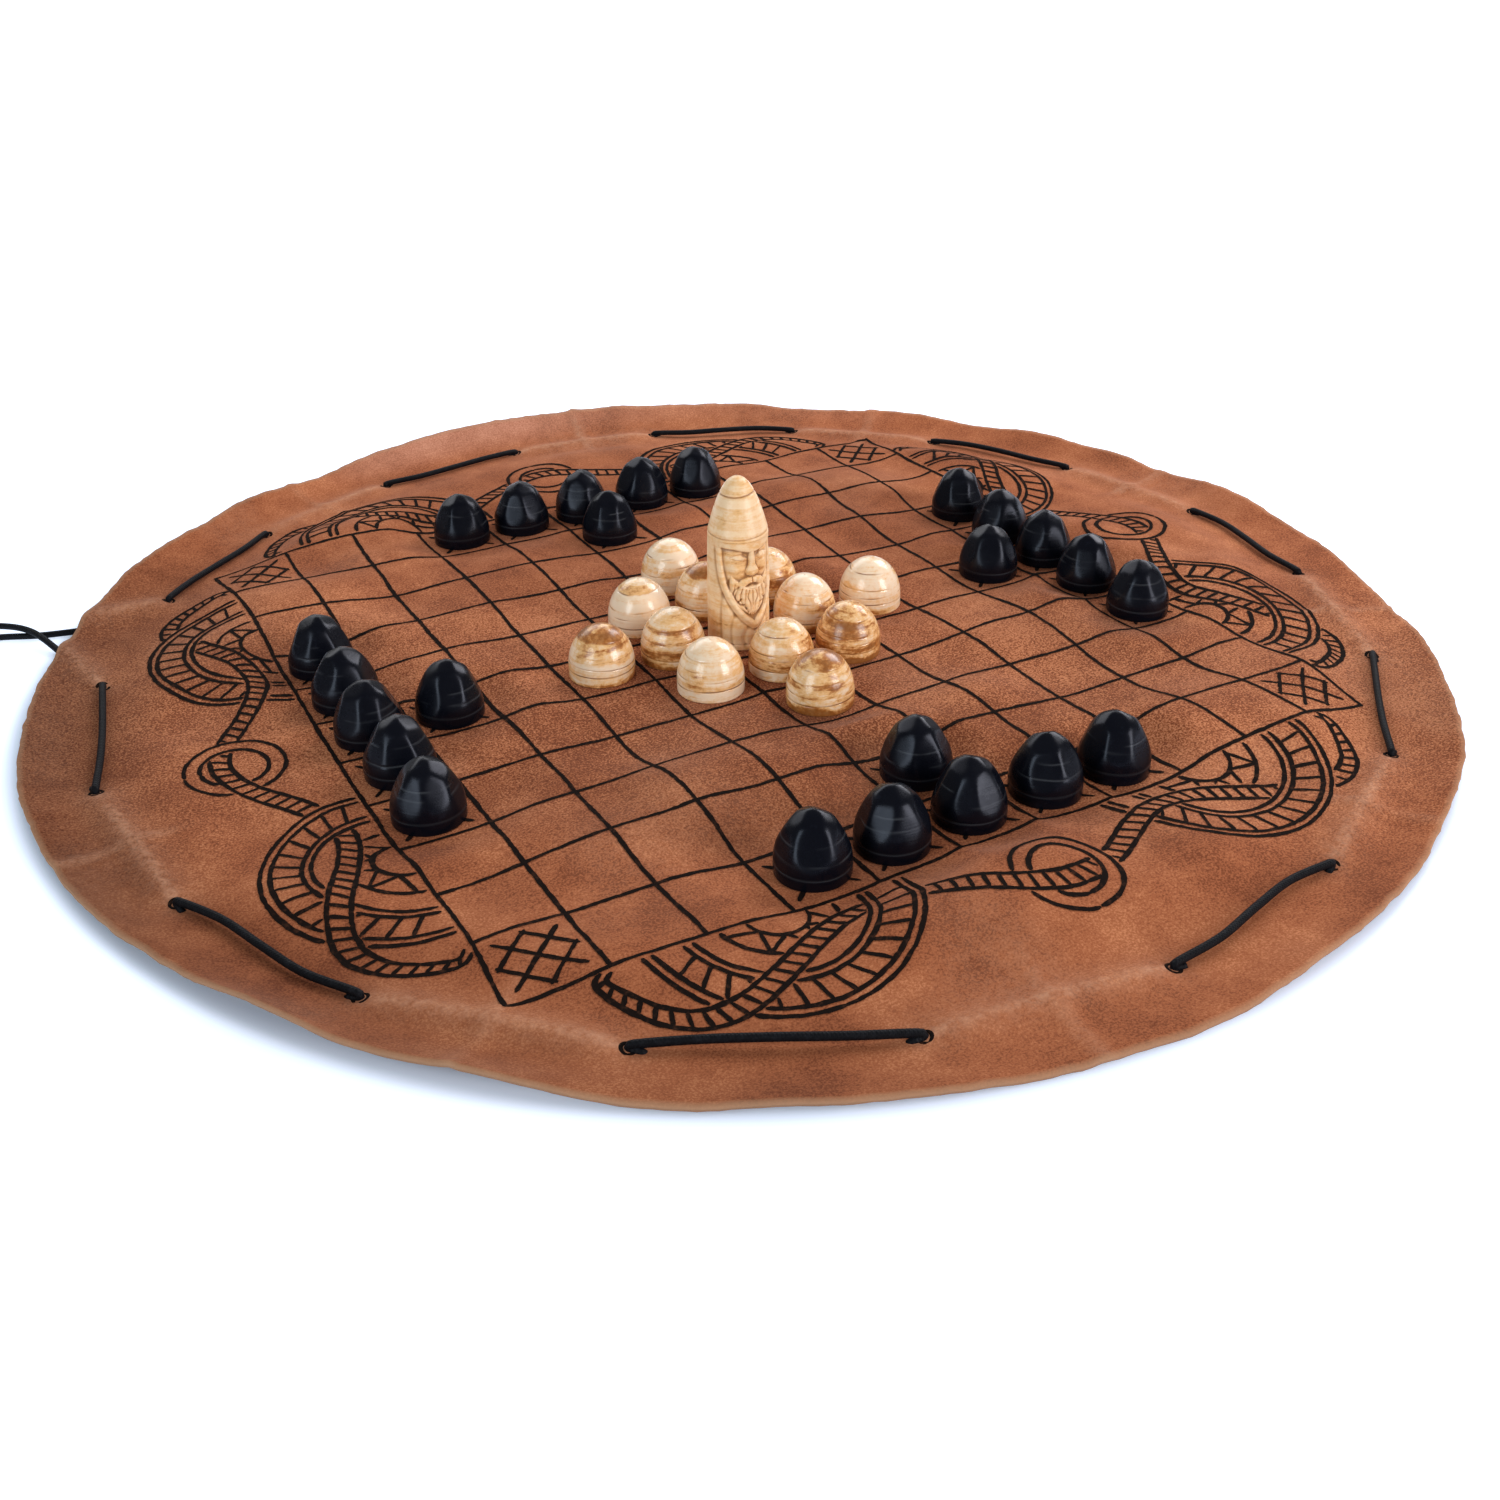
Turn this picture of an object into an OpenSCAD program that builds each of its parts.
// Hnefatafl set: a round leather board that draws up into a pouch, with its turned and carved pieces.
// Millimetres. The origin is on the table under the middle of the field, +Z is up and the king faces -Y.

/* [Leather] */
// Side of one square of the field
cell = 28; // [26:0.5:30]
// Thickness of the leather
leather_t = 2; // [1.6:0.1:2.6]
// Clear leather between the field's corner and the ridge that the cord raises
corner_gap = 0.6; // [0.3:0.1:4]
// Distance from the lacing circle to the leather's edge
edge_margin = 21; // [16:0.5:28]
// Depth of the slow waves along the hand-cut edge
edge_wave = 2; // [0:0.2:3]

/* [Scorched lines] */
// Width of a scorched line
line_w = 1.4; // [0.8:0.1:2]
// Depth of a scorched line
line_depth = 0.3; // [0.1:0.05:0.6]
// Half the side of the slanted square in a corner mark
gate_half = 7.6; // [6:0.2:8]
// Half the length of the cross in a corner mark
gate_arm = 14; // [11:0.5:15]
// Half the length of the cross under an attacker
cross_arm = 14.5; // [12:0.5:16]

/* [Drawstring] */
// Diameter of the cord
cord_d = 2.4; // [2:0.1:3]
// Number of lacing holes
hole_count = 20; // [16:2:24]
// Clear space between the cord and the leather
cord_gap = 0.3; // [0.2:0.05:0.5]
// How much wider than the cord's tunnel a lacing hole is worn, on each side
hole_ease = 0.2; // [0.1:0.05:0.4]
// Length of a stopper knot
knot_len = 8; // [6:0.5:10]
// Diameter of a stopper knot
knot_d = 5.6; // [4.5:0.1:7]

/* [Attackers] */
// Diameter of an attacker
attacker_d = 23; // [20:0.5:25]
// Height of an attacker
attacker_h = 21.5; // [18:0.5:24]
// Height of the straight band at an attacker's foot
attacker_band = 4; // [3:0.5:6]
// Depth of the facets cut into an attacker
facet_depth = 0.75; // [0.4:0.05:1]

/* [Defenders] */
// Diameter of a defender
defender_d = 23.5; // [20:0.5:25]
// Height of a defender
defender_h = 19; // [16:0.5:21]
// Height of the straight band at a defender's foot
defender_band = 4; // [3:0.5:5]
// Depth of a ring scored round a defender
ring_depth = 0.3; // [0.15:0.05:0.5]
// Height of a ring scored round a piece
ring_w = 0.6; // [0.4:0.1:1]

/* [King] */
// Diameter of the king
king_d = 23; // [21:0.5:25]
// Height of the king
king_h = 63.5; // [60:0.5:72]
// Height of the king's cap
cap_h = 20; // [18:0.5:24]
// How far the king draws in from the foot to the cap's brim
king_taper = 0.6; // [0.2:0.1:1.2]
// Depth of the carving at its deepest
carving = 1.6; // [1:0.1:2]
// Width of the cloak's rolled border
border_w = 2.4; // [1.6:0.2:3]

/* [Play] */
// How far a hand-set piece may stand off the middle of its square
set_off = 0.7; // [0:0.1:1]

/* [Hidden] */
squares = 11;
ATTACKERS = 24;
DEFENDERS = 12;
piece_fn = 64;
hole_fn = 24;
knot_fn = 48;
clear_over = 1;

function two_digits(i) = str(i < 10 ? "0" : "", i);
attacker_names = [for (i = [1:ATTACKERS]) str("attacker_", two_digits(i))];
defender_names = [for (i = [1:DEFENDERS]) str("defender_", two_digits(i))];

// Shared helpers
function unit(v) = v / norm(v);
function turned(p, quarter) = quarter == 0 ? p : turned([-p[1], p[0]], quarter - 1);
function polar(r, a, z) = [r * cos(a), r * sin(a), z];
// A repeatable scatter from -1 to 1 for copy i and use k
function scatter(i, k) = sin(i * 137.5 + k * 71 + 23 * sin(i * 57 + k * 31));

// Leather: a flat sheet with a hand-cut edge, raised in a ridge over each hidden run of the cord
field_half = squares * cell / 2;
floor_gap = 0.1;
under_z = cord_d / 2 + floor_gap;
over_z = leather_t + cord_gap + cord_d / 2;
hole_step = 360 / hole_count;
tunnel_r = cord_d / 2 + cord_gap;
hole_r = tunnel_r + hole_ease;
ridge_r = tunnel_r + leather_t;
lace_r = ((field_half + line_w / 2) * sqrt(2) + corner_gap + ridge_r) / cos(hole_step / 2);
leather_r = lace_r + edge_margin;
edge_points = 120;
arch_steps = 8;

// Each wave along the edge: its share of the depth, how many go round, and where it starts
edge_waves = [[0.5, 3, 40], [0.3, 8, 110], [0.2, 19, 0]];
function wave_sum(a, k) = k < 0 ? 0
    : edge_waves[k][0] * sin(edge_waves[k][1] * a + edge_waves[k][2]) + wave_sum(a, k - 1);
function edge_r(a) = leather_r + edge_wave * wave_sum(a, len(edge_waves) - 1);
edge_outline = [for (k = [0:edge_points - 1])
    let (a = 360 * k / edge_points) edge_r(a) * [cos(a), sin(a)]];

// A round-topped bar over the cord's hidden run from one point to another
module arch(from, to, r, foot_z) {
    run = to - from;
    translate([from[0], from[1], 0])
        rotate([90, 0, 90 + atan2(run[1], run[0])])
            linear_extrude(height = norm(run))
                polygon(concat([[-r, foot_z]],
                    [for (k = [0:arch_steps])
                        let (a = 180 - 180 * k / arch_steps) [r * cos(a), under_z + r * sin(a)]],
                    [[r, foot_z]]));
}

// Squares of the opening position, in squares from the middle
attacker_group = concat([for (i = [-2:2]) [i, -5]], [[0, -4]]);
attacker_squares = [for (side = [0:3]) for (p = attacker_group) turned(p, side)];
defender_group = [[0, -1], [0, -2], [1, -1]];
defender_squares = [for (p = defender_group) for (side = [0:3]) turned(p, side)];
corner_square = (squares - 1) / 2;

// The net of lines: one plate with a hole for each square
line_height = line_depth + clear_over;
function box_points(middle, half) = [for (c = [[-1, -1], [1, -1], [1, 1], [-1, 1]]) middle + half * c];
function row_of(first, count) = [for (k = [0:count - 1]) first + k];
square_middles = [for (i = [0:squares - 1]) for (j = [0:squares - 1])
    [i - corner_square, j - corner_square] * cell];
module line_net() {
    points = concat(box_points([0, 0], field_half + line_w / 2),
                    [for (m = square_middles) each box_points(m, (cell - line_w) / 2)]);
    linear_extrude(height = line_height)
        polygon(points, [for (k = [0:len(square_middles)]) row_of(4 * k, 4)]);
}

// A cross along the two diagonals of a square
module diagonal_cross(arm) {
    tip = [arm + line_w / 2, line_w / 2];
    one_arm = [[tip[0], -tip[1]], tip, [tip[1], tip[1]]];
    rotate([0, 0, 45])
        linear_extrude(height = line_height)
            polygon([for (quarter = [0:3]) each [for (p = one_arm) turned(p, quarter)]]);
}

// A corner mark: a cross along the diagonals over a square set on its point
module gate_mark() {
    edge = gate_half + line_w / 2;
    one_side = [[edge, -edge], [edge, -line_w / 2], [gate_arm, -line_w / 2], [gate_arm, line_w / 2],
                [edge, line_w / 2]];
    outline = [for (quarter = [0:3]) each [for (p = one_side) turned(p, quarter)]];
    pane = (gate_half - line_w) / 2;
    panes = [for (c = box_points([0, 0], gate_half / 2)) each box_points(c, pane)];
    rotate([0, 0, 45])
        linear_extrude(height = line_height)
            polygon(concat(outline, panes),
                    concat([row_of(0, len(outline))], [for (k = [0:3]) row_of(len(outline) + 4 * k, 4)]));
}

module scorched_lines() {
    line_net();
    for (side = [0:3])
        translate(turned([corner_square, corner_square] * cell, side))
            gate_mark();
    for (p = attacker_squares)
        translate(p * cell)
            diagonal_cross(cross_arm);
}

// The lacing holes, a little wider apart away from the two free ends
first_hole_angle = 159;
lace_spread = 4.2;
last_hole = hole_count - 1;
function hole_angle(k) = first_hole_angle + hole_step * k + lace_spread * sin(180 * k / last_hole);
function hole_at(k) = polar(lace_r, hole_angle(k), 0);

// Free ends: hand-chosen points along the table, out from under the leather's left edge
far_points = [[-208, 134, 1.3], [-223, 138, 1.3], [-236, 144, 1.3], [-250, 148, 1.3], [-264, 142, 1.3],
              [-272, 126, 1.3], [-274, 106, 1.3], [-270, 86, 1.3]];
near_points = [[-219, 119, 1.5], [-226, 137, 4.1], [-236, 152, 2.6], [-250, 160, 1.3], [-268, 160, 1.3],
               [-281, 148, 1.3], [-287, 130, 1.3], [-288, 108, 1.3]];
function flat(p) = [p[0], p[1], 0];
far_way = unit(flat(far_points[0]) - hole_at(last_hole));
near_way = unit(flat(near_points[0]) - hole_at(0));
past_edge = 2 * (edge_margin + edge_wave);
hidden_runs = concat([for (k = [1:2:last_hole - 2]) [hole_at(k), hole_at(k + 1)]],
    [[hole_at(0), hole_at(0) + past_edge * near_way],
     [hole_at(last_hole), hole_at(last_hole) + past_edge * far_way]]);

module leather_board() {
    color("sienna")
        difference() {
            intersection() {
                union() {
                    translate([-2 * leather_r, -2 * leather_r, 0])
                        cube([4 * leather_r, 4 * leather_r, leather_t]);
                    for (run = hidden_runs)
                        arch(run[0], run[1], ridge_r, leather_t / 4);
                }
                translate([0, 0, -clear_over])
                    linear_extrude(height = under_z + ridge_r + 2 * clear_over)
                        polygon(edge_outline);
            }
            for (run = hidden_runs)
                arch(run[0], run[1], tunnel_r, -clear_over);
            for (k = [0:last_hole])
                translate(hole_at(k) - [0, 0, clear_over])
                    cylinder(r = hole_r, h = under_z + ridge_r + 2 * clear_over, $fn = hole_fn);
            translate([0, 0, leather_t - line_depth])
                scorched_lines();
        }
}

// Cord: one tube swept along points, each with a direction that its ring starts from
cord_sides = 8;
function along(p, i) =
    let (before = i > 0 ? unit(p[i] - p[i - 1]) : [0, 0, 0])
    let (after = i < len(p) - 1 ? unit(p[i + 1] - p[i]) : [0, 0, 0])
    unit(before + after);
function ring(centre, way, start) =
    let (u = unit(start - (start * way) * way), v = cross(way, u))
    [for (k = [0:cord_sides - 1])
        let (a = 360 * k / cord_sides) centre + cord_d / 2 * (cos(a) * u + sin(a) * v)];

module cord_tube(path, starts) {
    rings = [for (i = [0:len(path) - 1]) each ring(path[i], along(path, i), starts[i])];
    last = (len(path) - 1) * cord_sides;
    sides = [for (i = [0:len(path) - 2]) for (k = [0:cord_sides - 1])
        let (a = i * cord_sides + k, b = i * cord_sides + (k + 1) % cord_sides)
        each [[a, a + cord_sides, b], [b, a + cord_sides, b + cord_sides]]];
    caps = [for (k = [1:cord_sides - 2]) each [[0, k, k + 1], [last, last + k + 1, last + k]]];
    polyhedron(points = rings, faces = concat(sides, caps), convexity = 10);
}

bend = cord_d / 2;
stub = 5;

// The three points that take the cord through hole k, between the ways in and out
function pass(k, way_in, way_out, z_in, z_out) = let (at = hole_at(k))
    [at - bend * way_in + [0, 0, z_in], at + [0, 0, (z_in + z_out) / 2], at + bend * way_out + [0, 0, z_out]];
function to_next(k) = unit(hole_at(k + 1) - hole_at(k));
far_start = hole_at(last_hole) + [0, 0, under_z] + stub * far_way;
near_start = hole_at(0) + [0, 0, under_z] + stub * near_way;

laced_path = concat(
    [near_start],
    [for (k = [0:last_hole]) each pass(k,
        k == 0 ? -near_way : to_next(k - 1),
        k == last_hole ? far_way : to_next(k),
        k % 2 == 0 ? under_z : over_z,
        k % 2 == 0 ? over_z : under_z)],
    [far_start]);
module drawstring() {
    color("black")
        cord_tube(laced_path, [for (p = laced_path) flat(p)]);
}

// A smooth curve through the points, with set steps between neighbours
tail_steps = 3;
function eased(p, i, t) =
    let (a = p[max(i - 1, 0)], b = p[i], c = p[i + 1], d = p[min(i + 2, len(p) - 1)])
    b + 0.5 * t * (c - a + t * (2 * a - 5 * b + 4 * c - d + t * (3 * (b - c) + d - a)));
function flowing(points, steps) = concat(
    [for (i = [0:len(points) - 2]) for (s = [0:steps - 1]) eased(points, i, s / steps)],
    [points[len(points) - 1]]);

// The stub's own direction is kept on the first step, so that the two end faces meet flat
function tail_path(start, way, points) = concat([start, start + stub / 2 * way],
    flowing(points, tail_steps));
far_path = tail_path(far_start, far_way, far_points);
near_path = tail_path(near_start, near_way, near_points);

module tail(path) {
    color("black")
        cord_tube(path, [for (p = path) [0, 0, 1]]);
}

// A stopper knot: three turns of the cord drawn tight, with the cord's bare end past them
knot_turns = 3;
bare_end = 5;
function knot_profile() =
    let (turn = knot_len / knot_turns, waist = knot_d / 2 - turn / 4)
    concat([[0, 0], [waist - turn / 4, 0]],
        [for (i = [0:knot_turns - 1]) each [[waist, (i + 0.1) * turn], [knot_d / 2, (i + 0.3) * turn],
            [knot_d / 2, (i + 0.7) * turn], [waist, (i + 0.9) * turn]]],
        [[waist - turn / 4, knot_len], [cord_d / 2, knot_len], [cord_d / 2, knot_len + bare_end],
         [0, knot_len + bare_end]]);

module knot(path) {
    end = path[len(path) - 1];
    way = along(path, len(path) - 1);
    color("black")
        intersection() {
            translate(end)
                rotate([0, 90, atan2(way[1], way[0])])
                    rotate_extrude($fn = knot_fn)
                        polygon(knot_profile());
            translate([end[0] - knot_len * 2, end[1] - knot_len * 2, 0])
                cube(knot_len * 4);
        }
}

// Pieces: where each one stands, and the domes that they are turned from
function standing(square, i) =
    [square[0] * cell + set_off * scatter(i, 1), square[1] * cell + set_off * scatter(i, 2), leather_t];

dome_steps = 12;
function dome_line(r, h, band, power, bulge) =
    [for (k = [0:dome_steps]) let (s = sin(90 * k / dome_steps))
        [r * (k == dome_steps ? 0 : pow(1 - pow(s, power), bulge)), band + (h - band) * s]];

// Attackers: pointed domes with flat facets ground round the side and the top
attacker_power = 1.85;
attacker_bulge = 0.62;
foot_round = 0.6;
attacker_profile = concat([[0, 0], [attacker_d / 2 - foot_round, 0], [attacker_d / 2, foot_round]],
    dome_line(attacker_d / 2, attacker_h, attacker_band, attacker_power, attacker_bulge));
function reach_at(tilt) = max([for (p = attacker_profile) p[0] * cos(tilt) + p[1] * sin(tilt)]);

// One flat facet whose face leans back by tilt
module facet_cut(angle, tilt, depth) {
    rotate([0, -tilt, angle])
        translate([reach_at(tilt) - depth, -attacker_d, -attacker_h * 2])
            cube([attacker_d, attacker_d * 2, attacker_h * 4]);
}

side_tilt = 24;
side_tilt_spread = 4;
usual_side_facets = 7;
top_tilt = 58;
top_tilt_spread = 6;
top_facets = 5;
depth_spread = 0.4;
module attacker(i) {
    side_facets = usual_side_facets + round(scatter(i, 3));
    lean = 360 * scatter(i, 4);
    color([0.07, 0.07, 0.08])
        translate(standing(attacker_squares[i], i))
            difference() {
                rotate_extrude($fn = piece_fn)
                    polygon(attacker_profile);
                for (k = [0:side_facets - 1])
                    facet_cut(lean + 360 * k / side_facets, side_tilt + side_tilt_spread * scatter(i + k, 5),
                              facet_depth * (1 + depth_spread * scatter(i + k, 6)));
                for (k = [0:top_facets - 1])
                    facet_cut(lean + 360 * (k + 0.5) / top_facets,
                              top_tilt + top_tilt_spread * scatter(i + k, 7),
                              facet_depth * (1 + depth_spread * scatter(i + k, 8)));
            }
}

// Defenders: round turned domes with rings scored by the chisel
defender_power = 2.1;
defender_bulge = 0.5;
module scored_ring(r, z, depth) {
    translate([0, 0, z])
        rotate_extrude($fn = piece_fn)
            polygon([[r - depth, 0], [r + clear_over, -ring_w / 2 - clear_over * ring_w / depth / 2],
                     [r + clear_over, ring_w / 2 + clear_over * ring_w / depth / 2]]);
}
function dome_r(r, s, power, bulge) = r * pow(1 - pow(s, power), bulge);
upper_rings = [0.42, 0.72];
ring_spread = 0.05;
module defender(i) {
    r = defender_d / 2;
    rise = defender_h - defender_band;
    profile = concat([[0, 0], [r - foot_round, 0], [r, foot_round]],
        dome_line(r, defender_h, defender_band, defender_power, defender_bulge));
    color([0.86, 0.72, 0.52])
        translate(standing(defender_squares[i], i + ATTACKERS))
            difference() {
                rotate_extrude($fn = piece_fn)
                    polygon(profile);
                scored_ring(r, defender_band, ring_depth);
                for (s = upper_rings)
                    let (at = s + ring_spread * scatter(i, s * 10))
                        scored_ring(dome_r(r, at, defender_power, defender_bulge), defender_band + rise * at,
                                    ring_depth);
            }
}

// King: a carved relief, each form an outline cut from the front to its own depth below the turned surface
king_r = king_d / 2;
brim_z = king_h - cap_h;
cap_power = 1;
cap_bulge = 0.45;
cap_steps = 10;
body_steps = 4;
function body_r(z) = king_r - king_taper * pow(z / brim_z, 2);
function king_profile(inset) = concat(
    [[0, inset], [king_r - foot_round - inset, inset], [king_r - inset, foot_round + inset]],
    [for (k = [1:body_steps]) let (z = brim_z * k / body_steps) [body_r(z) - inset, z]],
    [for (k = [1:cap_steps]) let (s = sin(90 * k / cap_steps))
        [max(0, (k == cap_steps ? 0 : dome_r(body_r(brim_z), s, cap_power, cap_bulge)) - inset),
         brim_z + (cap_h - inset) * s]]);

module turned_king(inset) {
    rotate_extrude($fn = piece_fn)
        polygon(king_profile(inset));
}

// An outline seen from the front, from points given as a share of the radius and a drop below the brim
function on_front(points) = [for (p = points) [p[0] * king_r, brim_z - p[1]]];
module from_front(points) {
    rotate([90, 0, 0])
        linear_extrude(height = king_d)
            polygon(points);
}
module relief(inset, points) {
    intersection() {
        turned_king(inset);
        from_front(points);
    }
}
// A strip of set width along a line of points
function beside(p, i, d) =
    let (w = unit(p[min(i + 1, len(p) - 1)] - p[max(i - 1, 0)])) p[i] + d * [-w[1], w[0]];
function strip(p, low, high) = concat([for (i = [0:len(p) - 1]) beside(p, i, low)],
                                      [for (i = [len(p) - 1:-1:0]) beside(p, i, high)]);

curve_steps = 3;
cloak_edge = flowing(on_front([[-0.79, -0.4], [-0.78, 9], [-0.72, 16], [-0.57, 23.5], [-0.28, 29.2],
                               [0.06, 32.8]]), curve_steps);
hood_edge = flowing(on_front([[0.06, 32.8], [0.38, 28.4], [0.62, 22.5], [0.75, 16], [0.79, 9], [0.79, -0.4]]),
                    curve_steps);
hood_opening = concat(cloak_edge, hood_edge);
border_line = 0.7;
brow = on_front([[-0.72, 1.2], [0, 0.8], [0.78, 1.2], [0.78, 3.6], [0.12, 4.4], [-0.12, 4.4],
                 [-0.72, 3.6]]);
nose = on_front([[-0.1, 3], [0.1, 3], [0.14, 9], [0.22, 11], [0.12, 12], [-0.12, 12], [-0.22, 11],
                 [-0.14, 9]]);
cheek = flowing(on_front([[0.2, 8.4], [0.5, 8], [0.66, 10], [0.6, 14], [0.36, 16], [0.2, 13],
                          [0.2, 8.4]]), curve_steps);
eye = flowing(on_front([[0.16, 6.6], [0.32, 5.5], [0.52, 6.4], [0.34, 7.4], [0.16, 6.6]]), curve_steps);
moustache = flowing(on_front([[0, 12.2], [0.2, 12.4], [0.42, 14.2], [0.5, 18], [0.34, 16.2],
                              [0.14, 14.6], [0, 14.4]]), curve_steps);
beard = flowing(on_front([[-0.52, 13], [-0.54, 18], [-0.36, 24], [-0.06, 28.5], [0.24, 28.5], [0.5, 24],
                          [0.58, 18], [0.54, 13]]), curve_steps);
mouth = on_front([[-0.18, 15.4], [0, 14.9], [0.18, 15.4], [0.1, 16.5], [-0.1, 16.5]]);
function mirrored(points) = [for (p = points) [-p[0], p[1]]];
strands = 7;
strand_w = 0.5;
function strand_line(k) = let (u = 0.12 * (k - (strands - 1) / 2))
    flowing(on_front([[u, 17.5], [u * 1.25, 21], [u * 0.9 + 0.05, 27 - abs(u) * 7]]), curve_steps);
cap_ring = 0.7;
brim_ring_depth = 1.5 * ring_depth;
// How far each form lies below the turned surface, as a share of the carving's depth
brow_sunk = 0.35;
nose_sunk = 0.1;
cheek_sunk = 0.7;
eye_sunk = 0.6;
moustache_sunk = 0.3;
beard_sunk = 0.5;
strand_sunk = 0.8;
mouth_sunk = 0.4;
border_sunk = 0.5;

module king() {
    color([0.85, 0.7, 0.48])
        translate(standing([0, 0], ATTACKERS + DEFENDERS))
            union() {
                turned_king(carving);
                difference() {
                    turned_king(0);
                    from_front(hood_opening);
                    scored_ring(body_r(brim_z), brim_z, brim_ring_depth);
                    scored_ring(dome_r(body_r(brim_z), cap_ring, cap_power, cap_bulge),
                                brim_z + cap_h * cap_ring, ring_depth);
                    difference() {
                        from_front(strip(cloak_edge, -border_w - border_line, -border_w));
                        turned_king(carving * border_sunk);
                    }
                }
                relief(carving * brow_sunk, brow);
                relief(carving * nose_sunk, nose);
                for (side = [cheek, mirrored(cheek)])
                    relief(carving * cheek_sunk, side);
                for (side = [eye, mirrored(eye)])
                    relief(carving * eye_sunk, side);
                for (side = [moustache, mirrored(moustache)])
                    relief(carving * moustache_sunk, side);
                difference() {
                    relief(carving * beard_sunk, beard);
                    difference() {
                        for (k = [0:strands - 1])
                            from_front(strip(strand_line(k), -strand_w / 2, strand_w / 2));
                        turned_king(carving * strand_sunk);
                    }
                }
                relief(carving * mouth_sunk, mouth);
            }
}

leather_board();
drawstring();
tail(far_path);  // tail_far
tail(near_path);  // tail_near
knot(far_path);  // knot_far
knot(near_path);  // knot_near
for (i = [0:ATTACKERS - 1])
    attacker(i);
for (i = [0:DEFENDERS - 1])
    defender(i);
king();
